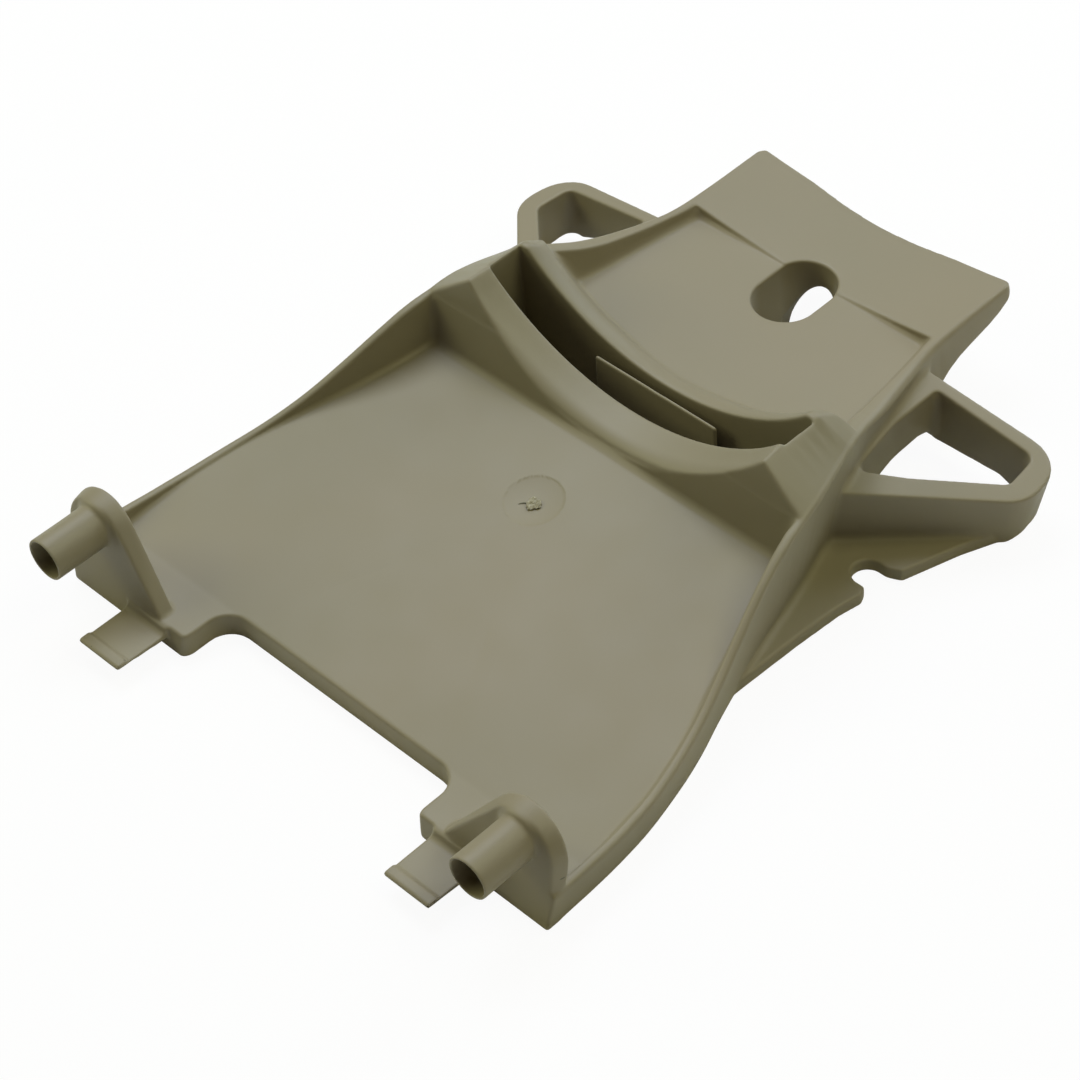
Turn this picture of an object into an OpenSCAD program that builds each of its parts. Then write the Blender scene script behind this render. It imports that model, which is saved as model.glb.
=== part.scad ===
// Motor base of a close-coupled pump, one injection moulding in khaki plastic.
// The front end carries two pins and two snap tabs that hold it to the pump foot,
// the cross wall behind the tray is the saddle for the motor shell, and the rear
// tongue has a slot for a strap bolt. X is across, Y runs from the pin end to the
// rear tongue, Z is up, and the part stands on z = 0.

/* [Front edge] */
// Half width of the base across its front corners
front_half_w = 99.8; // [96:0.2:104]
// Height of the tray floor above the ground at the front edge
front_floor_h = 8.8; // [7.5:0.1:11]
// Lean of the front face, in millimetres back for each millimetre up
front_lean = 0.13; // [0.06:0.01:0.16]
// Half width of the notch in the front edge
notch_half_w = 48.9; // [36:0.1:50]
// Depth of the notch in the front edge
notch_depth = 18; // [12:0.5:24]
// Corner radius at the back of the notch
notch_corner_r = 8; // [4:0.5:11]
// Radius where the notch turns into the front edge
notch_mouth_r = 4; // [2:0.2:5]

/* [Ears and pins] */
// Distance of each pin axis from the middle of the base
pin_x = 87.8; // [85:0.1:89]
// Height of each pin axis above the ground
pin_z = 28.1; // [26:0.1:32]
// Outer diameter of the hollow pins
pin_d = 14; // [12:0.1:16]
// Wall of the hollow pins
pin_wall = 0.9; // [0.8:0.1:2]
// Length that the pins stand out of the ear face
pin_len = 16; // [12:0.5:22]
// Radius of the ear's round top at its front face
ear_r = 12.4; // [11.5:0.1:12.6]
// Drop of the centre of that radius below the pin axis
ear_drop = 4; // [2.8:0.1:4.2]
// Growth of that radius through the ear's thickness
ear_flare = 1.6; // [0.5:0.1:2]
// Thickness of the ear plates
ear_t = 5.5; // [4:0.1:6.5]
// Distance from the middle at which the ear slope meets the tray floor
ear_foot_x = 59.5; // [56:0.1:62]
// Fillet at the root of the pin
pin_root_r = 1.2; // [0.8:0.1:1.4]

/* [Snap tabs] */
// Distance of each tab centre from the middle of the base
tab_x = 65; // [62:0.5:68]
// Width of the snap tabs
tab_w = 17.8; // [12:0.2:20]
// Length that the tabs stand out of the front face
tab_len = 19; // [14:0.5:24]
// Height of the tab's underside above the ground at its root
tab_z = 4.4; // [3.4:0.1:4.8]
// Rise of the tab's underside towards its tip
tab_taper = 1.4; // [0:0.1:1.5]
// Thickness of the tab tongue
tab_t = 1.9; // [1.9:0.1:2.2]
// Rise of the lip at the tab's tip
tab_lip_h = 0.8; // [0.4:0.1:1.4]
// Length of the lip at the tab's tip
tab_lip_len = 4.8; // [3:0.2:7]

/* [Walls] */
// Wall of the moulding
wall = 3; // [2.4:0.1:3.6]
// Thickness of the ribs under the floor
rib_t = 2; // [1.4:0.1:2.6]
// Depth of the ribs under the floor
rib_h = 7; // [4:0.5:10]

/* [Tray] */
// Rise of the tray floor for each millimetre towards the saddle
floor_slope = 0.1555; // [0.14:0.0005:0.16]
// Distance from the front face to the foot of the saddle wall
saddle_foot_y = 127.2; // [124:0.2:129]
// Diameter of the shallow dimple round the moulding gate
gate_d = 18.8; // [14:0.2:24]
// Depth of the dimple round the moulding gate
gate_depth = 0.5; // [0.2:0.1:1]
// Distance from the front face to the moulding gate
gate_y = 98.6; // [85:0.2:105]

/* [Saddle] */
// Radius of the motor shell that lies in the saddle
shell_r = 82.7; // [80:0.1:86]
// Height of the motor axis above the ground
shell_axis_z = 115.2; // [114:0.1:118]
// Clearance round the shell at the front wall of the saddle
shell_gap = 2.3; // [1:0.1:3]
// Height of the two horns of the saddle above the ground
horn_z = 54.6; // [51:0.2:57]
// Half width of the saddle across its horns
horn_half_w = 59.4; // [57:0.2:61]
// Distance from the front face to the front edge of the pocket
pocket_y = 141.5; // [140:0.1:143]
// Width of the pocket between the two saddle walls
pocket_w = 13.2; // [9:0.1:14.5]
// Length of the rounding of the saddle's front edge
saddle_front_l = 6.4; // [3:0.2:7]
// Drop of the rounding of the saddle's front edge
saddle_front_d = 3.4; // [2:0.1:3.6]
// Radius of the flare behind the saddle
saddle_rear_r = 12; // [9:0.5:14]
// Half length of the plate that stands in the pocket
plate_half_l = 25; // [15:0.5:32]
// Thickness of the plate that stands in the pocket
plate_t = 1.3; // [1:0.1:2]

/* [Rear tongue] */
// Length of the base from its front face to the rear edge
body_len = 257.5; // [254:0.5:266]
// Height of the recessed floor behind the saddle
recess_z = 30; // [29:0.1:32]
// Distance from the front face to the rear step of the recess
recess_end_y = 221.9; // [216:0.1:226]
// Width of the rims beside the recess
rim_w = 5.8; // [4.5:0.1:7]
// Radius of the shallow hollow across the tongue
tongue_r = 320; // [260:5:420]
// Height of the tongue's lowest line above the ground
tongue_z = 30.4; // [30.2:0.1:31.5]
// Width of the slot for the strap bolt
bolt_slot_w = 21; // [16:0.5:26]
// Length of the slot for the strap bolt
bolt_slot_l = 30; // [27:0.5:36]
// Distance from the front face to the middle of the bolt slot
bolt_slot_y = 214.4; // [208:0.2:218]
// Diameter of the bolt hole in the floor of the slot
bolt_hole_d = 15.4; // [8:0.2:18]
// Depth of the bolt slot below the recessed floor
bolt_slot_depth = 9; // [5:0.5:12]

/* [Handles] */
// Distance of the handle's outer end from the middle of the base
handle_out_x = 105.2; // [101:0.2:108]
// Height of the handle's top face beside the body
handle_in_z = 28; // [26:0.2:30]
// Height of the handle's top face at its outer end
handle_out_z = 19.4; // [18:0.2:23]
// Width of the handle's front bar
front_bar_w = 7.6; // [6:0.2:9.4]
// Width of the handle's rear bar
rear_bar_w = 5.4; // [4:0.2:7.4]
// Corner radius at the handle's outer end
handle_r = 12; // [7:0.5:13]
// Corner radius of the handle's window
window_r = 3.2; // [2:0.2:4.6]

/* [Ground flange] */
// Thickness of the ground flange
flange_t = 4.8; // [3.5:0.1:6]
// Width of the anchor slot in the flange
anchor_w = 10; // [7:0.2:11]
// Distance from the middle to the closed end of the anchor slot
anchor_x = 75; // [73.5:0.2:77]
// Distance from the front face to the middle of the anchor slot
anchor_y = 156; // [154:0.2:158]

/* [Hidden] */
$fn = 96;
eps = 0.01;
// The origin is midway between the tab tips and the rear edge.
centre_y = (body_len - tab_len) / 2;
front_arc_r = shell_r + shell_gap;
saddle_low_z = shell_axis_z - front_arc_r;
pocket_end_y = pocket_y + pocket_w;
ear_z = pin_z - ear_drop;
gable_end_y = 165.4;
hollow_y = 213;
handle_rear_y = body_len - 41.7;
far = body_len + 50;
above = 60;
pin_bore_r = pin_d / 2 - pin_wall;

// Half width of the body at the ground, as [distance from front, half width].
ground_line = [
    [0, front_half_w], [21.5, front_half_w - 0.8], [39, 97.4], [60, 93], [72.4, 89.3], [86.7, 83.9],
    [97, 80.3], [110, 76.2], [128, 71], [138.6, 67.8], [154, 62.8], [172, 58.7], [189, 55.4],
    [208, 53.4], [221, 53], [240, 52.7], [body_len, 52.2]
];
// Half width of the body along the top edge of its side walls.
rim_line = [
    [0, front_half_w + 1.8], [21, front_half_w + 1], [42.5, 98.6], [57, 95.8], [71, 92.1], [85, 87.9],
    [99, 83.9], [113, 80.4], [124, 78.2], [131, 76.9], [139.6, 75.4], [148, 72.9], [156, 70.2],
    [162, 68.2], [172, 64.2], [179, 62], [189, 59.4], [205, 55.2], [213, 53.4], [221, 52.3],
    [240, 51.8], [body_len, 51.8]
];
// Height of the top edge of the side walls.
rim_height = [
    [0, 14.6], [21, 14], [30, 13.7], [42.5, 14], [57, 15.8], [71, 18.6], [85, 23.4], [99, 30.1],
    [113, 37], [124, 41.2], [131, 42.6], [139.6, 44.4], [150, 45.1], [161, 45.1], [169, 42.8],
    [179, 39.2], [187, 37.2], [195, 36], [204, 35], [213, 34.4], [221, 34.5], [body_len, 35]
];
// Height of the lower edge of the side walls.
skirt_height = [
    [0, 0], [140, 0], [167, 0], [177, 10.6], [184, 12.2], [196, 12.4], [208, 11.4], [215, 12.4],
    [221, 15.8], [225, 19.2], [231.2, 22.4], [240, 24.4], [245, 25.3], [251, 27.2], [body_len, 30.9]
];

function index_of(line, y, i = 0) = i >= len(line) - 2 || y <= line[i + 1][0] ? i : index_of(line, y, i + 1);
function rise(line, i) = (line[i + 1][1] - line[i][1]) / (line[i + 1][0] - line[i][0]);
// Slope of the curve at one of its points, flat where the points turn back.
function slope_at(line, i) =
    let(a = rise(line, max(i - 1, 0)), b = rise(line, min(i, len(line) - 2)))
    a * b <= 0 ? 0 : 2 * a * b / (a + b);
// Smooth curve through the points of a line, read at one distance.
function along(line, y) =
    let(i = index_of(line, y), h = line[i + 1][0] - line[i][0], t = (y - line[i][0]) / h)
    (2 * pow(t, 3) - 3 * pow(t, 2) + 1) * line[i][1]
    + (pow(t, 3) - 2 * pow(t, 2) + t) * h * slope_at(line, i)
    + (3 * pow(t, 2) - 2 * pow(t, 3)) * line[i + 1][1]
    + (pow(t, 3) - pow(t, 2)) * h * slope_at(line, i + 1);

// Half width of the side wall's outer face at one place and height.
function side_x(y, z) =
    let(z0 = along(skirt_height, y), z1 = along(rim_height, y))
    along(ground_line, y) + (along(rim_line, y) - along(ground_line, y)) * (z - z0) / (z1 - z0);
function floor_z(y) = front_floor_h + floor_slope * max(y - notch_depth, 0);
function saddle_face_y(z) = saddle_foot_y + (z - floor_z(saddle_foot_y)) * 0.19;
function steps(from, to, n) = [for (i = [0:n]) from + (to - from) * i / n];

// Arc that rounds the corner b of the path a, b, c.
function corner(a, b, c, r, n) =
    let(
        u = (a - b) / norm(a - b), v = (c - b) / norm(c - b),
        half = acos(u * v) / 2, mid = b + (u + v) / norm(u + v) * r / sin(half),
        p = b + u * r / tan(half) - mid, q = b + v * r / tan(half) - mid, turn = 180 - 2 * half,
        way = p[0] * q[1] - p[1] * q[0] > 0 ? 1 : -1
    )
    [for (k = [0:n])
        let(s = way * turn * k / n)
        mid + [p[0] * cos(s) - p[1] * sin(s), p[0] * sin(s) + p[1] * cos(s)]];
// Closed outline with each corner rounded by its own radius.
function rounded(points, radii, n = 6) =
    let(m = len(points))
    [for (i = [0:m - 1]) each corner(points[(i + m - 1) % m], points[i], points[(i + 1) % m], radii[i], n)];

// Skin over a row of rings. All rings have the same number of points and run clockwise
// as seen from in front of the first one.
module loft(rings) {
    n = len(rings[0]);
    last = len(rings) - 1;
    sides = [for (i = [0:last - 1]) for (k = [0:n - 1])
        each [
            [i * n + k, (i + 1) * n + k, (i + 1) * n + (k + 1) % n],
            [i * n + k, (i + 1) * n + (k + 1) % n, i * n + (k + 1) % n]
        ]];
    polyhedron(
        points = [for (ring = rings) each ring],
        faces = concat([[for (k = [0:n - 1]) k]], sides, [[for (k = [n - 1:-1:0]) last * n + k]]),
        convexity = 10
    );
}

// Outline in the XZ plane, drawn from one distance to another.
module across(from_y, to_y) {
    translate([0, to_y, 0]) rotate([90, 0, 0]) linear_extrude(to_y - from_y) children();
}

// Outline in the YZ plane, drawn from one side to the other.
module lengthwise(half_w) {
    rotate([90, 0, 90]) linear_extrude(2 * half_w, center = true) children();
}

module both_sides() {
    children();
    mirror([1, 0, 0]) children();
}

// Height of the gable's top at one station, from the rim up to the horn and down again.
function gable_z(y) =
    y < 131 || y > gable_end_y + 3 ? along(rim_height, y)
    : y <= pocket_end_y + 2.4 ? horn_z
    : horn_z - (y - pocket_end_y - 2.4) * (horn_z - 49.4) / (gable_end_y - pocket_end_y - 2.4);

// Body of the base, filled: leaning sides, top edge of the walls, gables of the saddle.
module body_blank() {
    arc = [0, 30, 60, 90];
    stations = concat(
        steps(0, 120, 24), [125, 130.6, 132.4], steps(136, pocket_end_y + 2.4, 5), [161, gable_end_y],
        steps(gable_end_y + 3.4, body_len - 2.4, 18), [body_len]
    );
    loft([for (y = stations)
        let(
            zb = along(skirt_height, y), zt = along(rim_height, y), zg = gable_z(y),
            pull = y > body_len - 1 ? 1.6 : 0,
            xb = along(ground_line, y) - pull, xt = along(rim_line, y) - pull,
            edge = 1.2 + 1.2 * min(max((y - 172) / 20, 0), 1), xc = xt - edge, zc = zt - edge,
            xg = zg > zt + 1 ? horn_half_w : xc - 0.6, back = y == 0 ? front_lean : 0
        )
        [for (p = concat(
            [[-xb, zb]], [for (a = arc) [-xc - edge * cos(a), zc + edge * sin(a)]], [[-xg, zg]],
            [[xg, zg]], [for (a = arc) [xc + edge * sin(a), zc + edge * cos(a)]], [[xb, zb]]
        )) [p[0], y + back * p[1], p[1]]]
    ]);
}

// Space over the tray floor, between the side walls and the saddle wall.
module tray_space() {
    top = 80;
    draft = 0.13;
    rim_z = along(rim_height, 130);
    rows = concat([-1], steps(0, 120, 20));
    loft(concat(
        [for (y = rows)
            let(yc = max(y, 0), zf = floor_z(y), xi = side_x(yc, zf) - wall, xo = xi + (top - zf) * draft)
            [[-xi, y, zf], [-xo, y, top], [xo, y, top], [xi, y, zf]]
        ],
        [let(
            y0 = saddle_foot_y, y1 = saddle_face_y(top), zf = floor_z(y0), xi = side_x(y0, zf) - wall,
            xo = side_x(saddle_face_y(rim_z), rim_z) - wall + (top - rim_z) * draft
        )
        [[-xi, y0, zf], [-xo, y1, top], [xo, y1, top], [xi, y0, zf]]]
    ));
}

// Turned shape of the motor shell with the bell mouth of the saddle's front edge and the
// flare behind it, from the saddle's front face to one distance behind.
module motor_shell(grow, rear_y) {
    turn = 57;
    front_y = saddle_foot_y + 0.9;
    mouth = [for (a = [0:15:90])
        [front_arc_r + saddle_front_d * (1 - sin(a)), front_y + saddle_front_l * (1 - cos(a))]];
    flare = [for (a = [0:9.5:turn])
        [shell_r + saddle_rear_r * (1 - cos(a)), pocket_end_y + saddle_rear_r * sin(a)]];
    cone = flare[len(flare) - 1];
    end_r = cone[0] + (rear_y - cone[1]) * tan(turn);
    start = [[0, front_y - 8], [mouth[0][0], front_y - 8]];
    profile = concat(start, mouth, flare, [[end_r, rear_y], [0, rear_y]]);
    translate([0, 0, shell_axis_z]) rotate([-90, 0, 0]) rotate_extrude($fn = 180)
        polygon([for (p = profile) [max(p[0] + (p[0] > 0 ? grow : 0), 0), p[1]]]);
}

// Saddle and the recess behind it: what the motor shell and its flare take out of the
// filled body above the floors, and then the recess on to the step in the rear tongue.
module saddle_cut() {
    half = horn_half_w + 12;
    flare_end_y = gable_end_y + 2.7;
    front_z = floor_z(saddle_foot_y);
    intersection() {
        union() {
            motor_shell(0, gable_end_y + 15);
            translate([-80, gable_end_y + 12, 0]) cube([160, 80, 80]);
        }
        union() {
            translate([-half, saddle_foot_y, front_z]) cube([2 * half, pocket_y + 4 - saddle_foot_y, 80]);
            translate([-half, pocket_y + 2, recess_z]) cube([2 * half, flare_end_y - pocket_y - 2, 80]);
            recess_space();
        }
    }
}

// Pocket between the two saddle walls, with its plate left standing.
module pocket_space() {
    difference() {
        translate([-horn_half_w, pocket_y, wall]) cube([2 * horn_half_w, pocket_w, 80]);
        translate([-plate_half_l, pocket_y + 8.9, 0]) cube([2 * plate_half_l, plate_t, saddle_low_z + 2]);
    }
}

// Distance from the middle to the inner edge of the rim, which narrows towards the rear.
function rim_inner_x(y) = along(rim_line, y) - rim_w + 2 * min(max((y - 186) / 24, 0), 1);

// Space between the two rims beside the recessed floor.
module recess_space() {
    loft([for (y = steps(gable_end_y + 2, recess_end_y, 15))
        let(zt = along(rim_height, y), xi = rim_inner_x(y), draft = 0.3 * (zt - recess_z))
        [[-xi + draft, y, recess_z], [-xi - 6, y, zt + 20], [xi + 6, y, zt + 20], [xi - draft, y, recess_z]]
    ]);
}

// Shallow round hollow along the top of the rear tongue.
module tongue_hollow() {
    translate([0, hollow_y, tongue_z + tongue_r]) rotate([-90, 0, 0])
        cylinder(h = 120, r = tongue_r, $fn = 360);
}

module notch_shape(grow) {
    w = notch_half_w + grow;
    d = notch_depth + grow;
    r = notch_corner_r + grow;
    square_w = 2 * (w - r);
    translate([-w, -40]) square([2 * w, 40 + d - r]);
    translate([-square_w / 2, -40]) square([square_w, 40 + d]);
    for (side = [-1, 1]) translate([side * (w - r), d - r]) circle(r);
}

// Notch in the front edge, open below, with its rounded mouth.
module notch_cut() {
    translate([0, 0, -1]) linear_extrude(40) notch_shape(0);
    mouth_y = notch_mouth_r - 0.4;
    both_sides() translate([notch_half_w, 0, -1]) linear_extrude(40) difference() {
        translate([-eps, -1]) square([notch_mouth_r, mouth_y + 1]);
        translate([notch_mouth_r, mouth_y]) circle(notch_mouth_r);
    }
}

// Hollow under the tray and under the rear tongue.
module underside_space() {
    front_rows = concat(steps(wall, saddle_foot_y - 3, 14));
    difference() {
        loft([for (y = front_rows)
            let(zc = floor_z(y) - wall, xc = side_x(y, zc) - wall, xg = side_x(y, 0) - wall)
            [[-xg, y, -1], [-xc, y, zc], [xc, y, zc], [xg, y, -1]]
        ]);
        translate([0, 0, -2]) linear_extrude(40) notch_shape(wall);
        floor_ribs();
    }
    difference() {
        front_y = saddle_foot_y + 4.4;
        back_y = pocket_y - wall + 0.2;
        side = side_x(back_y, 0) - wall;
        translate([-side, front_y, -1]) cube([2 * side, back_y - front_y, 39]);
        motor_shell(wall, 177);
        rib_at(-34, 30);
        rib_at(34, 30);
    }
    rear_rows = concat(steps(pocket_end_y + wall, body_len - 6, 18));
    ceiling = recess_z - wall;
    difference() {
        loft([for (y = rear_rows)
            let(xg = side_x(y, along(skirt_height, y)) - wall, xc = side_x(y, ceiling) - wall)
            [[-xg, y, -1], [-xc, y, ceiling], [xc, y, ceiling], [xg, y, -1]]
        ]);
        bolt_boss();
        for (x = [-34, 34]) rib_at(x, 20);
    }
}

// Ribs that stiffen the floor from below.
module rib_at(x, low_z) {
    translate([x - rib_t / 2, 0, low_z]) cube([rib_t, far, above]);
}

module floor_ribs() {
    for (x = [-34, 34]) lengthwise_rib(x);
    for (y = [54, 90]) translate([-front_half_w, y - rib_t / 2, floor_z(y) - wall - rib_h])
        cube([2 * front_half_w, rib_t, above]);
}

module lengthwise_rib(x) {
    translate([x, 0, 0]) lengthwise(rib_t / 2)
        polygon([for (y = [0, notch_depth, 130]) [y, floor_z(y) - wall - rib_h], [130, 60], [0, 60]]);
}

// Boss under the bolt slot: the wall round the slot and the floor with the bolt hole.
module bolt_boss() {
    floor_z = recess_z - bolt_slot_depth - wall;
    translate([0, bolt_slot_y, floor_z]) linear_extrude(recess_z - 0.5 - floor_z) slot_shape(wall);
}

module slot_shape(grow) {
    r = bolt_slot_w / 2 + grow;
    reach = (bolt_slot_l - bolt_slot_w) / 2;
    translate([-r, -reach]) square([2 * r, 2 * reach]);
    for (end = [-1, 1]) translate([0, end * reach]) circle(r);
}

module bolt_slot() {
    translate([0, bolt_slot_y, recess_z - bolt_slot_depth]) linear_extrude(60) slot_shape(0);
    far_end = (bolt_slot_l - bolt_slot_w) / 2;
    translate([0, bolt_slot_y + far_end, -1]) cylinder(h = 60, d = bolt_hole_d);
}

// Ear plate: it leans back, has a round top and slopes down to the tray floor.
module ear() {
    $fn = 48;
    wide = front_half_w - ear_foot_x;
    hull() {
        translate([pin_x, front_lean * ear_z, ear_z]) rotate([-90 - atan(front_lean), 0, 0])
            cylinder(h = ear_t, r1 = ear_r, r2 = ear_r + ear_flare);
        translate([ear_foot_x, 0, 0]) cube([wide, ear_t, eps]);
        translate([ear_foot_x, front_lean * front_floor_h, front_floor_h - eps]) cube([wide, ear_t, eps]);
    }
}

// Hollow pin on the ear's front face, with the fillet at its root.
module pin() {
    root_y = front_lean * pin_z + 0.1;
    translate([pin_x, 0, pin_z]) rotate([90, 0, 0]) {
        translate([0, 0, -root_y - 1]) cylinder(h = pin_len + root_y + 1, d = pin_d);
        translate([0, 0, -root_y]) rotate_extrude() translate([pin_d / 2, 0]) difference() {
            translate([-1, -1.4]) square([1 + pin_root_r, 1.4 + pin_root_r]);
            translate([pin_root_r, pin_root_r]) circle(pin_root_r);
        }
    }
}

module pin_bore() {
    depth = pin_len + front_lean * pin_z + 1.5;
    translate([pin_x, -pin_len - 1, pin_z]) rotate([-90, 0, 0]) cylinder(h = depth + 1, r = pin_bore_r);
}

// Snap tab: a thin tongue with a raised lip, filleted into the front face.
module tab() {
    top = tab_z + tab_t;
    fillet = 2.2;
    lip = -tab_len + tab_lip_len;
    arc = [for (a = [0:15:90]) [-fillet + fillet * sin(a), top + fillet - fillet * cos(a)]];
    translate([tab_x, 0, 0]) lengthwise(tab_w / 2) polygon(concat(
        [[3, tab_z], [-tab_len, tab_z + tab_taper], [-tab_len, top], [-tab_len + 0.8, top + tab_lip_h]],
        [[lip - 0.9, top + tab_lip_h], [lip, top]], arc, [[3, top + fillet]]
    ));
}

// Open handle beside the rear tongue: a deep loop that stands on the ground at its front.
module handle() {
    rear_y = handle_rear_y;
    front_y = rear_y - 70.7;
    inner_x = along(rim_line, 190) - 6;
    end_x = handle_out_x;
    function top_z(x) = handle_in_z + (handle_out_z - handle_in_z) * (x - 60) / (end_x - 60);
    top = rounded(
        [
            [inner_x, front_y], [end_x + 1, rear_y - 18.2],
            [end_x - 2.3, rear_y + 2.9], [inner_x, rear_y - 1.2]
        ],
        [0.5, handle_r + 2, handle_r, 0.5]
    );
    low = rounded(
        [
            [inner_x, front_y + 6], [end_x - 3.2, rear_y - 18.4],
            [end_x - 4.6, rear_y - 2.6], [inner_x, rear_y - 2.4]
        ],
        [0.5, handle_r - 4, handle_r - 4, 0.5]
    );
    difference() {
        loft([[for (p = low) [p[0], p[1], 0]], [for (p = top) [p[0], p[1], top_z(p[0])]]]);
        space_under_handle();
    }
}

// Space under the rear bar and the outer end, as
// [distance before the rear edge, height under the bar, height under the outer end].
module space_under_handle() {
    rises = [[21, 0, -0.9], [17, 3, 1.2], [12, 5, 2.1], [8, 5.4, 2.6], [3.5, 5.6, 2.4], [-15, 5.6, 2.4]];
    loft([for (c = rises)
        let(y = handle_rear_y - c[0], bar = c[1], foot = c[2], end = handle_out_x + 12)
        [
            [20, y, -2], [20, y, bar + 6], [56, y, bar + 5.4], [59.6, y, bar + 1.6],
            [84, y, bar + 0.7], [91, y, foot + 0.5], [end, y, foot - 0.4], [end, y, -2]
        ]
    ]);
}

// Window of the handle, and the open space below the body wall beside it.
module handle_window() {
    rear_y = handle_rear_y - rear_bar_w;
    out_x = handle_out_x - 7.8;
    front_y = handle_rear_y - 47 + (front_bar_w - 7.6) * 1.4;
    corners = [
        [63.8, front_y], [76, front_y + 9.6], [out_x, front_y + 30.1], [out_x - 1.5, rear_y + 1.9],
        [60.3, rear_y], [60.2, front_y + 22]
    ];
    translate([0, 0, -1]) linear_extrude(above)
        polygon(rounded(corners, [2, 24, window_r, window_r, 1.6, 30]));
    translate([54, 0, 0]) lengthwise(11) polygon([
        [front_y, -1], [front_y + 3, 10.6], [front_y + 13, 12.4], [rear_y - 8, 13.7], [rear_y - 3.4, 12.4],
        [rear_y, 8], [rear_y, -1]
    ]);
}

// Flange on the ground in front of the handle, with its open anchor slot.
module flange() {
    edge = [
        [56, 97], [80.5, 97], [80.9, 108], [81.6, 124], [82.8, 140], [anchor_x + 9.4, anchor_y - 8],
        [anchor_x + 8, anchor_y - anchor_w / 2], [anchor_x + 8, anchor_y + anchor_w / 2],
        [anchor_x + 12.4, anchor_y + anchor_w / 2 + 2], [93.6, 182.4], [98.7, 194.6], [94, 196], [64, 166],
        [56, 166]
    ];
    linear_extrude(flange_t) polygon(edge);
}

module anchor_slot() {
    r = anchor_w / 2;
    translate([0, 0, -1]) linear_extrude(flange_t + 2) {
        translate([anchor_x + r, anchor_y]) circle(r);
        translate([anchor_x + r, anchor_y - r]) square([30, anchor_w]);
    }
}

module gate_dimple() {
    tilt = atan(floor_slope);
    translate([0, gate_y, floor_z(gate_y) - gate_depth]) rotate([tilt, 0, 0])
        cylinder(h = gate_depth + 3, d = gate_d);
}

module motor_base() {
    color([0.57, 0.56, 0.48]) translate([0, -centre_y, 0]) difference() {
        union() {
            difference() {
                body_blank();
                tray_space();
                saddle_cut();
                tongue_hollow();
            }
            bolt_boss();
            both_sides() {
                ear();
                pin();
                tab();
                difference() {
                    union() {
                        handle();
                        flange();
                    }
                    handle_window();
                    anchor_slot();
                    inside_of_body();
                }
            }
        }
        pocket_space();
        underside_space();
        notch_cut();
        bolt_slot();
        gate_dimple();
        both_sides() pin_bore();
    }
}

// Keeps the handle and the flange out of the hollow body.
module inside_of_body() {
    rows = steps(90, body_len - 17.5, 20);
    loft([for (y = rows)
        let(
            z0 = along(skirt_height, y), z1 = along(rim_height, y), top = z1 + above,
            xg = side_x(y, z0) - 1, xt = along(rim_line, y) - 1
        )
        [[-10, y, -2], [-10, y, top], [xt + 1, y, top], [xt, y, z1], [xg, y, z0 - eps], [xg, y, -2]]
    ]);
}

motor_base();
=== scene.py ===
import math

import bmesh
import bpy
import numpy as np
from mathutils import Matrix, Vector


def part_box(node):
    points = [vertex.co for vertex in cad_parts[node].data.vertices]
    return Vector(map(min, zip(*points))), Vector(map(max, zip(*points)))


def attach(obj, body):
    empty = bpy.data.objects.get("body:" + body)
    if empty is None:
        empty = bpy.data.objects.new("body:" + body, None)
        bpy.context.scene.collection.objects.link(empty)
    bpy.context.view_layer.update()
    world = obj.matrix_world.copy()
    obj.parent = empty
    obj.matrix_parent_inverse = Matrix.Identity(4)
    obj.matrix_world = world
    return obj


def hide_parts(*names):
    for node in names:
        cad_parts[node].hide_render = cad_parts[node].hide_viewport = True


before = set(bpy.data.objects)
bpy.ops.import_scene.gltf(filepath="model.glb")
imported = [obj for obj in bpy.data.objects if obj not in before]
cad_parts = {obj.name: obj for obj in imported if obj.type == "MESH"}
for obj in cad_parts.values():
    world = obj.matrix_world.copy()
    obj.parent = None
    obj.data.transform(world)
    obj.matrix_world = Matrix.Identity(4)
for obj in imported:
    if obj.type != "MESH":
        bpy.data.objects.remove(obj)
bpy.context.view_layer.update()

import openvdb
from mathutils import Matrix, Vector

# Moulding: the whole base is one shot of khaki plastic, so it is one skin here too.
# The solid gives its shape, and the mould's radii are put back on every corner:
# small ones on outer edges, larger ones where a wall meets a floor.
MM = 0.001
PITCH = 0.42
SIDE_BLOCK = 400.0
SEAM_LAP = 6.0
SEAM_GAP = 0.05
SHARP_ANGLE = math.radians(24)
EDGE_SOFTNESS = 0.5
FILLET_SOFTNESS = 1.35
FINE_SOFTNESS = 0.3
BLUR_REACH = 2.6
TRIANGLES_EACH_SIDE = 94000

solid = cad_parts["motor_base"]
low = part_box("motor_base")[0]
TAB_TIP_Y = low.y / MM
TAB_LENGTH = 19.0
FRONT_Y = TAB_TIP_Y + TAB_LENGTH
FRONT_LEAN = 0.13


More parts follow.
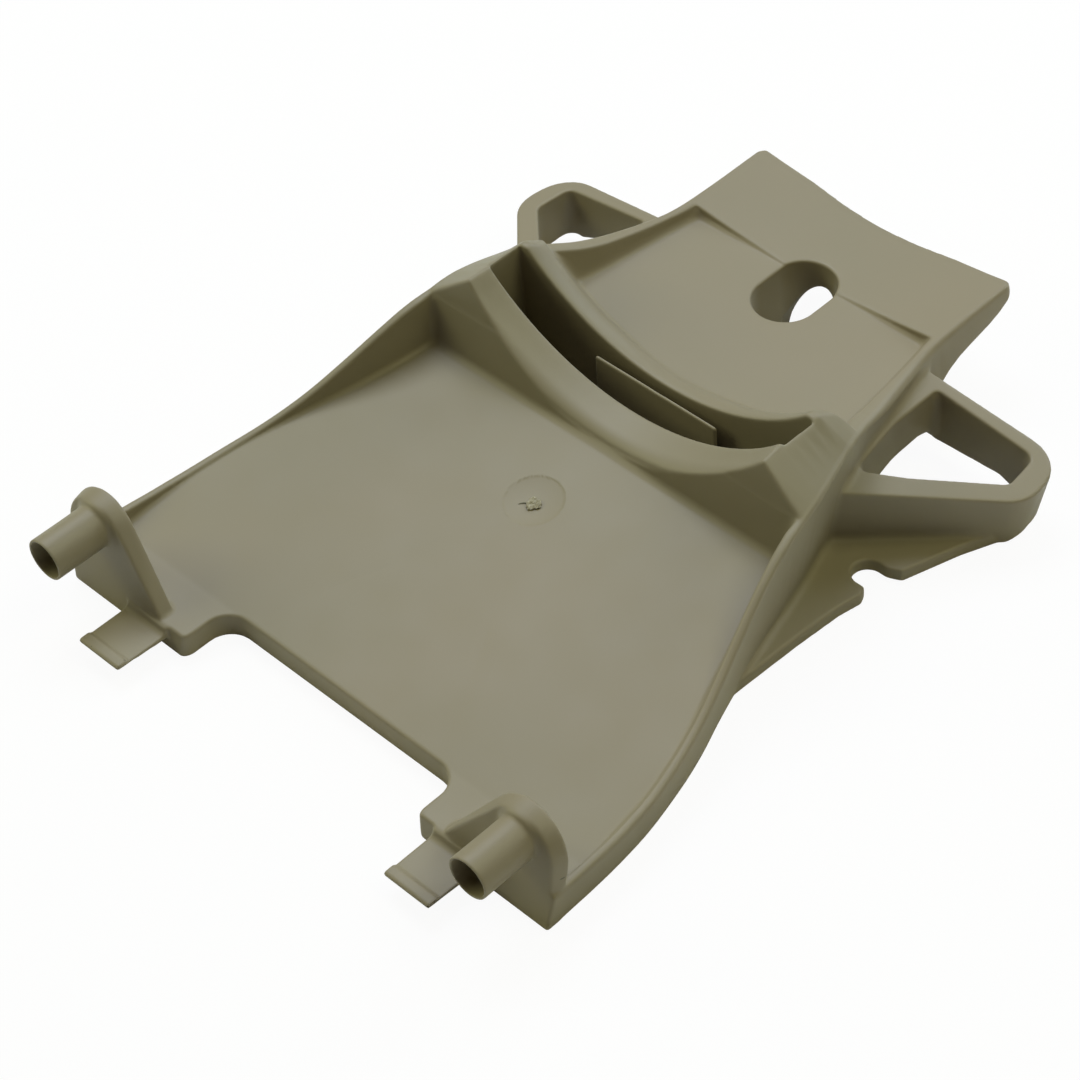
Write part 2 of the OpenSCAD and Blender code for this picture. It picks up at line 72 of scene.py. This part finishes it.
def right_half_of_the_moulding():
    """Corner points and corner normals of the right half's triangles, closed, with a little lap
    over the middle."""
    welded = bmesh.new()
    welded.from_mesh(solid.data)
    bmesh.ops.remove_doubles(welded, verts=welded.verts, dist=1e-7)
    whole_mesh = bpy.data.meshes.new("whole_moulding")
    welded.to_mesh(whole_mesh)
    welded.free()
    whole = bpy.data.objects.new("whole_moulding", whole_mesh)
    side_mesh = bpy.data.meshes.new("right_side")
    side = bmesh.new()
    bmesh.ops.create_cube(side, size=SIDE_BLOCK * MM,
                          matrix=Matrix.Translation(((SIDE_BLOCK / 2 - SEAM_LAP) * MM, 0, 0)))
    side.to_mesh(side_mesh)
    side.free()
    right_side = bpy.data.objects.new("right_side", side_mesh)
    for piece in (whole, right_side):
        bpy.context.scene.collection.objects.link(piece)
    parting = whole.modifiers.new("parting", "BOOLEAN")
    parting.operation = "INTERSECT"
    parting.solver = "MANIFOLD"
    parting.object = right_side
    half = bpy.data.meshes.new_from_object(whole.evaluated_get(bpy.context.evaluated_depsgraph_get()))
    for piece in (whole, right_side):
        bpy.data.objects.remove(piece)
    triangles = bmesh.new()
    triangles.from_mesh(half)
    bmesh.ops.triangulate(triangles, faces=triangles.faces)
    triangles.to_mesh(half)
    triangles.free()
    half.shade_smooth()
    half.set_sharp_from_angle(angle=SHARP_ANGLE)
    points = np.empty(len(half.vertices) * 3, np.float32)
    half.vertices.foreach_get("co", points)
    corners = np.empty(len(half.loops), np.int32)
    half.loops.foreach_get("vertex_index", corners)
    normals = np.empty(len(half.loops) * 3, np.float32)
    half.corner_normals.foreach_get("vector", normals)
    places = points.reshape(-1, 3)[corners.reshape(-1, 3)] / MM
    return places, normals.reshape(-1, 3, 3)


def rounded_patches(places, normals, parts=8, most_bulge=0.11):
    """Fine triangles that bulge a little off the flat ones, so that turned faces are round again."""
    steps = [(i, j) for i in range(parts + 1) for j in range(parts + 1 - i)]
    number = {step: n for n, step in enumerate(steps)}
    shares = np.array([[parts - i - j, i, j] for i, j in steps], np.float32) / parts
    flat = np.einsum("ac,tcx->tax", shares, places)
    off = np.einsum("tacx,tcx->tac", flat[:, :, None, :] - places[:, None, :, :], normals)
    bulge = np.einsum("ac,tacx->tax", shares, -off[..., None] * normals[:, None, :, :])
    size = np.linalg.norm(bulge, axis=2).max(1)
    ease = 0.75 * np.minimum(1, most_bulge / np.maximum(size, 1e-6)) ** 2
    rows = []
    for i in range(parts):
        for j in range(parts - i):
            rows.append((number[i, j], number[i + 1, j], number[i, j + 1]))
            if i + j < parts - 1:
                rows.append((number[i + 1, j], number[i + 1, j + 1], number[i, j + 1]))
    first = np.arange(len(places), dtype=np.int32)[:, None, None] * len(steps)
    triangles = (first + np.array(rows, np.int32)[None]).reshape(-1, 3)
    return (flat + bulge * ease[:, None, None]).reshape(-1, 3), triangles


def blurred(field, softness):
    """The distance field after a soft blur, which rounds every corner of the shape that it holds."""
    spread = softness / PITCH
    reach = max(1, int(math.ceil(BLUR_REACH * spread)))
    weights = np.exp(-0.5 * (np.arange(-reach, reach + 1) / spread) ** 2)
    weights /= weights.sum()
    for axis in range(3):
        out = np.zeros_like(field)
        padded = np.pad(field, [(reach, reach) if a == axis else (0, 0) for a in range(3)], mode="edge")
        for step, weight in enumerate(weights):
            window = [slice(None)] * 3
            window[axis] = slice(step, step + field.shape[axis])
            out += np.float32(weight) * padded[tuple(window)]
        field = out
    return field


def ramp(value, start, end):
    """0 before start, 1 after end, and smooth between them."""
    t = np.clip((value - start) / (end - start), 0, 1)
    return (t * t * (3 - 2 * t)).astype(np.float32)


FLOOR_FRONT_Z = 8.8
FLOOR_RISE = 0.1555
NOTCH_DEPTH = 18.0


def floor_height(y):
    """Height of the tray's sloping floor."""
    return FLOOR_FRONT_Z + FLOOR_RISE * (y - FRONT_Y - NOTCH_DEPTH)


WELL_Y = FRONT_Y + 214.4
WELL_HALF_RUN = 4.5
WELL_RADIUS = 10.5
WELL_WALL = 3.0
WELL_TOP_Z = 29.0
WELL_DRAFT = 0.07
WELL_FOOT_Z = 2.5
ARCH_HALF_WIDTH = 9.9
ARCH_FOOT_Z = 5.4
ARCH_RISE = 15.9
ARCH_RUN = 18.0


def with_bolt_well(field, x, y, z):
    """The bolt slot as the deep well that the photo shows: drafted walls with no ledge, open below,
    and an arch through the wall at the rear."""
    radius = WELL_RADIUS - WELL_DRAFT * np.maximum(WELL_TOP_Z - z, 0)
    inside = np.hypot(x, np.maximum(np.abs(y - WELL_Y) - WELL_HALF_RUN, 0)) - radius
    wall = np.abs(inside - WELL_WALL / 2) - WELL_WALL / 2
    tube = np.maximum(wall, np.maximum(z - WELL_TOP_Z, WELL_FOOT_Z - z))
    span = np.hypot(x / ARCH_HALF_WIDTH, np.maximum(z - ARCH_FOOT_Z, 0) / ARCH_RISE) - 1
    behind = y - WELL_Y - WELL_HALF_RUN
    arch = np.maximum(span * ARCH_HALF_WIDTH, np.maximum(-behind, behind - ARCH_RUN))
    field = np.minimum(field, tube)
    return np.maximum(np.maximum(field, -inside), -arch).astype(np.float32)


# Where the fillets fade out: ahead of the front edge for the thin tabs, in the strap pocket
# and on the hidden underside. Round the gate the floor is made plain, for the dish to come.
TABS_BLEND_Y = (-2.2, -0.6)
POCKET_FRONT_Y = FRONT_Y + 141.5
POCKET_REAR_Y = FRONT_Y + 154.7
POCKET_BLEND_Y = (6.6, 9.0)
POCKET_BLEND_X = (60.0, 63.0)
UNDERSIDE_TOP_Z = 28.0
UNDERSIDE_BLEND_Z = (-2.4, -1.4)
UNDERSIDE_BLEND_X = (44.0, 50.0)
GATE_HOLE_Y = FRONT_Y + 98.6
GATE_RADIUS = 9.4
GATE_BLEND_OUT = (GATE_RADIUS + 1, GATE_RADIUS + 3)
GATE_BLEND_UNDER = (-2.2, -1.3)
GATE_BLEND_OVER = (2.0, 3.5)


def moulded_field(places, triangles):
    """Signed distance to the right half of the moulding, with its corners rounded."""
    band = 3.2 * FILLET_SOFTNESS / PITCH + 2
    grid = openvdb.FloatGrid.createLevelSetFromPolygons(
        places.astype(np.float32), triangles=triangles,
        transform=openvdb.createLinearTransform(voxelSize=PITCH), halfWidth=band)
    first, last = grid.evalActiveVoxelBoundingBox()
    first = np.array(first)
    shape = np.array(last) - first + 1
    field = np.empty(tuple(shape), np.float32)
    grid.copyToArray(field, ijk=tuple(int(v) for v in first))
    x, y, z = (
        ((np.arange(shape[axis]) + first[axis]) * PITCH).astype(np.float32)
        .reshape([-1 if other == axis else 1 for other in range(3)]) for axis in range(3))
    field = with_bolt_well(field, x, y, z)
    behind_front = y - FRONT_Y - FRONT_LEAN * z
    fine = blurred(field, FINE_SOFTNESS)
    edge = np.maximum(fine, blurred(field, EDGE_SOFTNESS))
    filleted = np.minimum(edge, blurred(edge, FILLET_SOFTNESS))
    floor_z = floor_height(y)
    over_floor = (z - floor_z) * math.cos(math.atan(FLOOR_RISE))
    at_gate = 1 - ramp(np.hypot(x, y - GATE_HOLE_Y), *GATE_BLEND_OUT)
    at_gate = at_gate * ramp(over_floor, *GATE_BLEND_UNDER) * (1 - ramp(over_floor, *GATE_BLEND_OVER))
    from_pocket = np.abs(y - (POCKET_FRONT_Y + POCKET_REAR_Y) / 2)
    in_pocket = (1 - ramp(from_pocket, *POCKET_BLEND_Y)) * (1 - ramp(x, *POCKET_BLEND_X))
    below = 1 - ramp(z - np.minimum(floor_z, UNDERSIDE_TOP_Z), *UNDERSIDE_BLEND_Z)
    hidden_below = below * (1 - ramp(x, *UNDERSIDE_BLEND_X))
    plain = np.maximum(in_pocket, hidden_below)
    field = filleted * (1 - plain) + edge * plain
    field = field * (1 - at_gate) + over_floor * at_gate
    thin = 1 - ramp(behind_front, *TABS_BLEND_Y)
    return field * (1 - thin) + fine * thin, first


def skin_of(field, first):
    """Quads over the surface of the field, in millimetres."""
    grid = openvdb.FloatGrid(float(field.max()))
    grid.transform = openvdb.createLinearTransform(voxelSize=PITCH)
    grid.gridClass = openvdb.GridClass.LEVEL_SET
    grid.copyFromArray(np.ascontiguousarray(field), ijk=tuple(int(v) for v in first))
    places, quads = grid.convertToQuads(isovalue=0.0)
    return places, quads[:, ::-1]


def slope_at(field, first, places):
    """Unit normals read from the field at some places."""
    at = places / PITCH - first
    base = np.clip(np.floor(at).astype(np.int64), 1, np.array(field.shape) - 3)
    part = (at - base).astype(np.float32)
    slope = np.zeros_like(places, dtype=np.float32)
    for corner in np.ndindex(2, 2, 2):
        i, j, k = (base + corner).T
        share = np.prod(np.where(corner, part, 1 - part), axis=1)
        slope[:, 0] += share * (field[i + 1, j, k] - field[i - 1, j, k])
        slope[:, 1] += share * (field[i, j + 1, k] - field[i, j - 1, k])
        slope[:, 2] += share * (field[i, j, k + 1] - field[i, j, k - 1])
    return slope / np.maximum(np.linalg.norm(slope, axis=1, keepdims=True), 1e-9)


def mesh_from(name, places, faces, sides):
    """A mesh of equal faces from arrays."""
    mesh = bpy.data.meshes.new(name)
    mesh.vertices.add(len(places))
    mesh.vertices.foreach_set("co", (places * MM).astype(np.float32).ravel())
    mesh.loops.add(len(faces) * sides)
    mesh.loops.foreach_set("vertex_index", faces.astype(np.int32).ravel())
    mesh.polygons.add(len(faces))
    mesh.polygons.foreach_set("loop_start", np.arange(0, len(faces) * sides, sides, dtype=np.int32))
    mesh.update(calc_edges=True)
    return mesh


def arrays_of(mesh):
    """Vertex places in millimetres and triangles of a mesh."""
    mesh.calc_loop_triangles()
    places = np.empty(len(mesh.vertices) * 3, np.float32)
    mesh.vertices.foreach_get("co", places)
    triangles = np.empty(len(mesh.loop_triangles) * 3, np.int32)
    mesh.loop_triangles.foreach_get("vertices", triangles)
    return places.reshape(-1, 3) / MM, triangles.reshape(-1, 3)


def thinned_half(places, quads):
    """The skin cut at the middle plane and thinned to the triangles that its bends need."""
    dense = bmesh.new()
    dense.from_mesh(mesh_from("dense_skin", places, quads, 4))
    bmesh.ops.bisect_plane(dense, geom=dense.verts[:] + dense.edges[:] + dense.faces[:],
                           plane_co=(0, 0, 0), plane_no=(1, 0, 0), clear_inner=True)
    mesh = bpy.data.meshes.new("half_skin")
    dense.to_mesh(mesh)
    dense.free()
    half = bpy.data.objects.new("half_skin", mesh)
    bpy.context.scene.collection.objects.link(half)
    thinning = half.modifiers.new("thinning", "DECIMATE")
    thinning.ratio = min(1.0, TRIANGLES_EACH_SIDE / (2 * len(mesh.polygons)))
    thin = bpy.data.meshes.new_from_object(half.evaluated_get(bpy.context.evaluated_depsgraph_get()))
    bpy.data.objects.remove(half)
    return arrays_of(thin)


def both_halves(places, triangles):
    """The right half and its mirror image, joined along the middle."""
    places = places.copy()
    on_seam = np.abs(places[:, 0]) < SEAM_GAP
    places[on_seam, 0] = 0
    number = np.arange(len(places))
    number[~on_seam] = len(places) + np.arange((~on_seam).sum())
    mirrored = places[~on_seam] * (-1, 1, 1)
    return np.vstack([places, mirrored]), np.vstack([triangles, number[triangles[:, ::-1]]])


GATE_X = -2.6
GATE_Y = FRONT_Y + 100.7
GATE_DEPTH = 0.75
GATE_STEP = 0.12
GATE_MARGIN = 1.3
GATE_CELL = 0.62
ON_FLOOR = 0.2


def gate_sink(x, y):
    """How deep the dish of the gate is at a place: a shallow bowl with a low step at its rim."""
    out = np.hypot(x - GATE_X, y - GATE_Y) / GATE_RADIUS
    return GATE_DEPTH * (1 - np.minimum(out, 1) ** 2) + GATE_STEP * (1 - ramp(out, 0.95, 1.03))


def with_fine_gate(places, triangles):
    """The skin with its floor cut into small cells round the gate, which is a little off the middle."""
    reach = GATE_RADIUS + GATE_MARGIN
    corners = places[triangles]
    low_corner, high_corner = corners.min(1), corners.max(1)
    near = ((low_corner[:, 0] < GATE_X + reach) & (high_corner[:, 0] > GATE_X - reach)
            & (low_corner[:, 1] < GATE_Y + reach) & (high_corner[:, 1] > GATE_Y - reach)
            & (np.abs(corners[:, :, 2] - floor_height(corners[:, :, 1])).max(1) < ON_FLOOR))
    skin = bmesh.new()
    skin.from_mesh(mesh_from("joined_skin", places, triangles, 3))
    skin.faces.ensure_lookup_table()
    patch = [skin.faces[int(n)] for n in np.nonzero(near)[0]]

    def cut(faces, axis, at):
        around = set(faces)
        for face in faces:
            around.update(face.edges)
            around.update(face.verts)
        across = (1, 0, 0) if axis == 0 else (0, 1, 0)
        made = bmesh.ops.bisect_plane(skin, geom=list(around), plane_co=[at * MM * part for part in across],
                                      plane_no=across, dist=1e-7)
        return [piece for piece in made["geom"] if isinstance(piece, bmesh.types.BMFace)]

    middles = ((0, GATE_X), (1, GATE_Y))
    cells = int(2 * reach / GATE_CELL)
    for axis, middle in middles:
        for at in (middle - reach, middle + reach):
            patch = cut(patch, axis, at)
    for axis, middle in middles:
        patch = [face for face in patch
                 if all(abs(face.calc_center_median()[a] / MM - m) < reach for a, m in middles)]
        for step in range(1, cells):
            patch = cut(patch, axis, middle - reach + step * 2 * reach / cells)
    bmesh.ops.triangulate(skin, faces=[face for face in skin.faces if len(face.verts) > 3])
    mesh = bpy.data.meshes.new("gated_skin")
    skin.to_mesh(mesh)
    skin.free()
    return arrays_of(mesh)


corner_places, corner_normals = right_half_of_the_moulding()
patch_places, patch_triangles = rounded_patches(corner_places, corner_normals)
base_field, base_first = moulded_field(patch_places, patch_triangles)
skin_places, skin_quads = skin_of(base_field, base_first)
half_places, half_triangles = thinned_half(skin_places, skin_quads)
base_places, base_triangles = with_fine_gate(*both_halves(half_places, half_triangles))
to_right = np.ones(base_places.shape)
to_right[base_places[:, 0] < 0, 0] = -1
base_normals = slope_at(base_field, base_first, base_places * to_right) * to_right
in_dish = ((np.hypot(base_places[:, 0] - GATE_X, base_places[:, 1] - GATE_Y) < GATE_RADIUS + 1)
           & (np.abs(base_places[:, 2] - floor_height(base_places[:, 1])) < ON_FLOOR))
dish_x, dish_y = base_places[in_dish, 0], base_places[in_dish, 1]
base_places[in_dish, 2] -= gate_sink(dish_x, dish_y)
dish_normals = base_normals[in_dish] / base_normals[in_dish, 2:]
nudge = 0.1
dish_normals[:, 0] += (gate_sink(dish_x + nudge, dish_y) - gate_sink(dish_x - nudge, dish_y)) / (2 * nudge)
dish_normals[:, 1] += (gate_sink(dish_x, dish_y + nudge) - gate_sink(dish_x, dish_y - nudge)) / (2 * nudge)
base_normals[in_dish] = dish_normals / np.linalg.norm(dish_normals, axis=1, keepdims=True)
base_mesh = mesh_from("motor_base_moulding", base_places, base_triangles, 3)
base_mesh.shade_smooth()
base_mesh.normals_split_custom_set_from_vertices(base_normals)
moulding = bpy.data.objects.new("motor_base_moulding", base_mesh)
bpy.context.scene.collection.objects.link(moulding)


DARK_MARK_COLOUR = (0.035, 0.03, 0.018, 1)
EAR_SCUFF = ((101.1, FRONT_Y + 6.0, 19.1), (0.9, 1.15, 0.34), 0.62)
RIGHT_TAB_SPECK = ((73.5, FRONT_Y - 18.8, 6.6), (0.6, 0.5, 0.5), 0.85)
LEFT_TAB_SPECK = ((-68.6, FRONT_Y - 18.2, 7.1), (0.3, 0.3, 0.3), 0.7)
LEFT_TAB_SMEAR = ((-57.0, FRONT_Y - 15.2, 7.0), (0.5, 0.6, 0.3), 0.35)


def khaki_plastic():
    """Matte khaki moulding compound: faint clouds, fine grain and soft sheen, with the few small
    dark marks of the real one, each given by its place, its reach and how dark it is."""
    material = bpy.data.materials.new("khaki_plastic")
    material.use_nodes = True
    nodes = material.node_tree.nodes
    links = material.node_tree.links
    shader = nodes["Principled BSDF"]
    place = nodes.new("ShaderNodeTexCoord").outputs["Object"]

    def noise(scale, detail, roughness=0.5):
        node = nodes.new("ShaderNodeTexNoise")
        node.inputs["Scale"].default_value = scale
        node.inputs["Detail"].default_value = detail
        node.inputs["Roughness"].default_value = roughness
        links.new(place, node.inputs["Vector"])
        return node.outputs["Fac"]

    cloud = noise(9, 3)
    tint = nodes.new("ShaderNodeValToRGB")
    tint.color_ramp.elements[0].position = 0.32
    tint.color_ramp.elements[0].color = (0.256, 0.226, 0.156, 1)
    tint.color_ramp.elements[1].position = 0.68
    tint.color_ramp.elements[1].color = (0.280, 0.238, 0.166, 1)
    links.new(cloud, tint.inputs["Fac"])
    colour = tint.outputs["Color"]
    for spot, reach, strength in (EAR_SCUFF, RIGHT_TAB_SPECK, LEFT_TAB_SPECK, LEFT_TAB_SMEAR):
        away = nodes.new("ShaderNodeVectorMath")
        away.operation = "SUBTRACT"
        away.inputs[1].default_value = [v * MM for v in spot]
        links.new(place, away.inputs[0])
        share = nodes.new("ShaderNodeVectorMath")
        share.operation = "DIVIDE"
        share.inputs[1].default_value = [v * MM for v in reach]
        links.new(away.outputs[0], share.inputs[0])
        length = nodes.new("ShaderNodeVectorMath")
        length.operation = "LENGTH"
        links.new(share.outputs[0], length.inputs[0])
        mark = nodes.new("ShaderNodeMapRange")
        mark.inputs["From Min"].default_value = 1.0
        mark.inputs["From Max"].default_value = 0.5
        mark.inputs["To Max"].default_value = strength
        links.new(length.outputs["Value"], mark.inputs["Value"])
        stain = nodes.new("ShaderNodeMixRGB")
        stain.inputs["Color2"].default_value = DARK_MARK_COLOUR
        links.new(mark.outputs["Result"], stain.inputs["Fac"])
        links.new(colour, stain.inputs["Color1"])
        colour = stain.outputs["Color"]
    links.new(colour, shader.inputs["Base Color"])
    sheen = nodes.new("ShaderNodeMapRange")
    sheen.inputs["To Min"].default_value = 0.44
    sheen.inputs["To Max"].default_value = 0.56
    links.new(noise(60, 4), sheen.inputs["Value"])
    links.new(sheen.outputs["Result"], shader.inputs["Roughness"])
    grain = nodes.new("ShaderNodeBump")
    grain.inputs["Strength"].default_value = 0.25
    grain.inputs["Distance"].default_value = 0.00006
    links.new(noise(2600, 2), grain.inputs["Height"])
    links.new(grain.outputs["Normal"], shader.inputs["Normal"])
    shader.inputs["Specular IOR Level"].default_value = 0.4
    return material


khaki = khaki_plastic()
moulding.data.materials.append(khaki)
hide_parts("motor_base")
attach(moulding, "root")

# Sprue nub: the ragged stub that is left where the sprue was twisted off the gate,
# about 4 mm across, whitened by the tear, with a torn tail on its front left that is coloured near-black
# all over as painted shade, standing in for the shaded groove there.
NUB_X = 0.55
NUB_Y = -0.7
NUB_RADIUS = 2.3
NUB_TOP = 0.8
NUB_DROOP = 0.28
NUB_LIP = 0.12
NUB_NECK = 0.72
NUB_FOOT = -0.9
NUB_RINGS = 8
NUB_SIDES = 48
TAIL_LEAN = (0.9, -0.42)
TAIL_FOOT = -0.3


def nub_edge(angle):
    """Ragged outline of the nub, as a share of its radius."""
    return (1 + 0.11 * math.sin(3 * angle + 0.6) + 0.07 * math.sin(5 * angle + 2.1)
            + 0.05 * math.sin(11 * angle))


def nub_rise(x, y):
    """Torn top of the nub over the bottom of the dish."""
    return (NUB_TOP + 0.13 * math.sin(3.1 * x + 1) * math.cos(2.7 * y + 0.4)
            + 0.09 * math.sin(7.3 * x + 2 + 2.2 * y) + 0.05 * math.sin(13 * y - 5 * x))


def gate_floor(x, y):
    """Height of the dish under a place given from the middle of the gate."""
    return floor_height(GATE_Y + y) - float(gate_sink(GATE_X + x, GATE_Y + y))


nub = bmesh.new()


def nub_point(x, y, rise):
    """A point of the nub, given from the middle of the gate and from the dish below it."""
    return nub.verts.new(((GATE_X + x) * MM, (GATE_Y + y) * MM, (gate_floor(x, y) + rise) * MM))


def nub_band(rows):
    """Quads between each ring of points and the next."""
    sides = len(rows[0])
    return [nub.faces.new((inner[n], outer[n], outer[(n + 1) % sides], inner[(n + 1) % sides]))
            for inner, outer in zip(rows, rows[1:]) for n in range(sides)]


nub_rows = []
for ring in range(1, NUB_RINGS + 3):
    on_top = ring <= NUB_RINGS
    share = ring / NUB_RINGS if on_top else NUB_NECK
    row = []
    for n in range(NUB_SIDES):
        angle = 2 * math.pi * n / NUB_SIDES
        out = NUB_RADIUS * nub_edge(angle) * share
        x, y = NUB_X + out * math.cos(angle), NUB_Y + out * math.sin(angle)
        if on_top:
            row.append(nub_point(x, y, nub_rise(x, y) - NUB_DROOP * share ** 6))
        else:
            row.append(nub_point(x, y, NUB_LIP if ring == NUB_RINGS + 1 else NUB_FOOT))
    nub_rows.append(row)
crown = nub_point(NUB_X, NUB_Y, nub_rise(NUB_X, NUB_Y))
for n in range(NUB_SIDES):
    nub.faces.new((crown, nub_rows[0][n], nub_rows[0][(n + 1) % NUB_SIDES]))
nub_band(nub_rows)
nub.faces.new(nub_rows[-1][::-1])

tail_rows = []
for x, y, half, rise in (
        (-0.8, -1.5, 0.34, 0.3), (-1.7, -1.7, 0.3, 0.26), (-2.4, -2.2, 0.26, 0.2),
        (-3.0, -2.9, 0.2, 0.14), (-3.4, -3.5, 0.05, 0.02)):
    step_x, step_y = TAIL_LEAN[0] * half, TAIL_LEAN[1] * half
    tail_rows.append([
        nub_point(x - step_x, y - step_y, TAIL_FOOT), nub_point(x - step_x, y - step_y, rise / 2),
        nub_point(x + step_x, y + step_y, rise), nub_point(x + step_x, y + step_y, TAIL_FOOT)])
# The tail's faces take the second material, whose near-black colour is painted shade of the groove, not the
# plastic's own colour.
tail_ends = [nub.faces.new(tail_rows[0][::-1]), nub.faces.new(tail_rows[-1])]
for face in nub_band(tail_rows) + tail_ends:
    face.material_index = 1
bmesh.ops.recalc_face_normals(nub, faces=nub.faces[:])
nub_mesh = bpy.data.meshes.new("sprue_nub")
nub.to_mesh(nub_mesh)
nub.free()
sprue_nub = bpy.data.objects.new("sprue_nub", nub_mesh)
bpy.context.scene.collection.objects.link(sprue_nub)


def torn_plastic(name, dark, pale):
    """The same compound where it was torn: rougher and blotched from a dark colour to a pale one. The pale
    is the whitening of the tear; a near-black pair is painted shade for the groove under the nub's tail.
    """
    material = bpy.data.materials.new(name)
    material.use_nodes = True
    nodes = material.node_tree.nodes
    links = material.node_tree.links
    shader = nodes["Principled BSDF"]
    tear = nodes.new("ShaderNodeTexNoise")
    tear.inputs["Scale"].default_value = 900
    tear.inputs["Detail"].default_value = 4
    links.new(nodes.new("ShaderNodeTexCoord").outputs["Object"], tear.inputs["Vector"])
    tint = nodes.new("ShaderNodeValToRGB")
    tint.color_ramp.elements[0].position = 0.35
    tint.color_ramp.elements[0].color = dark
    tint.color_ramp.elements[1].position = 0.6
    tint.color_ramp.elements[1].color = pale
    links.new(tear.outputs["Fac"], tint.inputs["Fac"])
    links.new(tint.outputs["Color"], shader.inputs["Base Color"])
    rough = nodes.new("ShaderNodeBump")
    rough.inputs["Strength"].default_value = 0.6
    rough.inputs["Distance"].default_value = 0.0002
    links.new(tear.outputs["Fac"], rough.inputs["Height"])
    links.new(rough.outputs["Normal"], shader.inputs["Normal"])
    shader.inputs["Roughness"].default_value = 0.7
    return material


# First the torn top, whitened by the tear; then the tail's near-black colour, which is painted shade.
for name, dark, pale in (
        ("torn_plastic", (0.250, 0.222, 0.150, 1), (0.400, 0.365, 0.275, 1)),
        ("tail_painted_shade", (0.050, 0.045, 0.022, 1), (0.110, 0.100, 0.058, 1))):
    sprue_nub.data.materials.append(torn_plastic(name, dark, pale))
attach(sprue_nub, "root")

# Studio: a white sweep under the base and four soft lights round it, strongest from
# behind on the left, so that faces turned to the front stay dark, as in the photo.
# The two lights from the sides are a little warm. The sweep keeps a faint shadow.
SWEEP_HALF_SIDE = 6.0
SWEEP_GAP = 0.0002
SWEEP_GLOW = 0.94


def white_sweep():
    """Floor material that the camera sees as white, with the shadow that falls on it."""
    material = bpy.data.materials.new("white_sweep")
    material.use_nodes = True
    nodes = material.node_tree.nodes
    links = material.node_tree.links
    shader = nodes["Principled BSDF"]
    shader.inputs["Base Color"].default_value = (0.9, 0.9, 0.9, 1)
    shader.inputs["Roughness"].default_value = 0.9
    shader.inputs["Specular IOR Level"].default_value = 0.1
    glow = nodes.new("ShaderNodeEmission")
    glow.inputs["Color"].default_value = (1, 1, 1, 1)
    seen = nodes.new("ShaderNodeLightPath").outputs["Is Camera Ray"]
    share = nodes.new("ShaderNodeMath")
    share.operation = "MULTIPLY"
    share.inputs[1].default_value = SWEEP_GLOW
    links.new(seen, share.inputs[0])
    mix = nodes.new("ShaderNodeMixShader")
    links.new(share.outputs[0], mix.inputs["Fac"])
    links.new(shader.outputs["BSDF"], mix.inputs[1])
    links.new(glow.outputs["Emission"], mix.inputs[2])
    links.new(mix.outputs["Shader"], nodes["Material Output"].inputs["Surface"])
    return material


floor_mesh = bpy.data.meshes.new("sweep")
floor_mesh.from_pydata(
    [(x * SWEEP_HALF_SIDE, y * SWEEP_HALF_SIDE, 0) for x, y in ((-1, -1), (1, -1), (1, 1), (-1, 1))],
    [], [(0, 1, 2, 3)])
floor = bpy.data.objects.new("sweep", floor_mesh)
bpy.context.scene.collection.objects.link(floor)
floor.location.z = low.z - SWEEP_GAP
floor.data.materials.append(white_sweep())

world = bpy.data.worlds.new("studio")
bpy.context.scene.world = world
world.use_nodes = True
world.node_tree.nodes["Background"].inputs["Color"].default_value = (1, 0.7, 0.4, 1)
world.node_tree.nodes["Background"].inputs["Strength"].default_value = 0.04


LIGHT_DISTANCE = 1.7
LIGHT_SIDE = 0.9


def soft_light(name, bearing, height, power, tint):
    """Square soft light aimed at the base, at a bearing from the pin end and a height, both in degrees."""
    lamp = bpy.data.lights.new(name, "AREA")
    lamp.shape = "SQUARE"
    lamp.size = LIGHT_SIDE
    lamp.energy = power
    lamp.color = tint
    light = bpy.data.objects.new(name, lamp)
    bpy.context.scene.collection.objects.link(light)
    turn, lift = math.radians(bearing), math.radians(height)
    place = Vector((math.cos(lift) * math.sin(turn), -math.cos(lift) * math.cos(turn), math.sin(lift)))
    light.location = place * LIGHT_DISTANCE
    light.rotation_euler = (-place).to_track_quat("-Z", "Y").to_euler()


soft_light("left_rear_light", 240, 60, 17.2, (0.77, 0.85, 1.0))
soft_light("rear_light", 180, 30, 10.0, (0.78, 0.90, 1.0))
soft_light("right_rear_light", 120, 60, 9.6, (1.0, 1.0, 0.60))
soft_light("left_front_light", 300, 30, 9.0, (0.98, 1.0, 0.58))

# Camera: a long lens above the right-hand pin, where the photographer's stood, looking
# down the length of the base. It leans a little, as the photo does.
CAMERA_PLACE = (0.48961, -0.46600, 0.67995)
CAMERA_BEARING = math.radians(47.65)
CAMERA_HEIGHT = math.radians(45.426)
CAMERA_ROLL = math.radians(-4.483)
CAMERA_LENS = 105.36

backward = Vector((math.sin(CAMERA_BEARING) * math.cos(CAMERA_HEIGHT),
                   -math.cos(CAMERA_BEARING) * math.cos(CAMERA_HEIGHT), math.sin(CAMERA_HEIGHT)))
level_right = (-backward).cross(Vector((0, 0, 1))).normalized()
level_up = level_right.cross(-backward)
right = level_right * math.cos(CAMERA_ROLL) + level_up * math.sin(CAMERA_ROLL)
up = -level_right * math.sin(CAMERA_ROLL) + level_up * math.cos(CAMERA_ROLL)
lens = bpy.data.cameras.new("catalogue_camera")
lens.lens = CAMERA_LENS
lens.sensor_width = 36
lens.clip_start = 0.05
lens.clip_end = 50
camera = bpy.data.objects.new("catalogue_camera", lens)
bpy.context.scene.collection.objects.link(camera)
camera.matrix_world = Matrix.Translation(CAMERA_PLACE) @ Matrix((right, up, backward)).transposed().to_4x4()
bpy.context.scene.camera = camera
bpy.context.scene.view_settings.view_transform = "Standard"
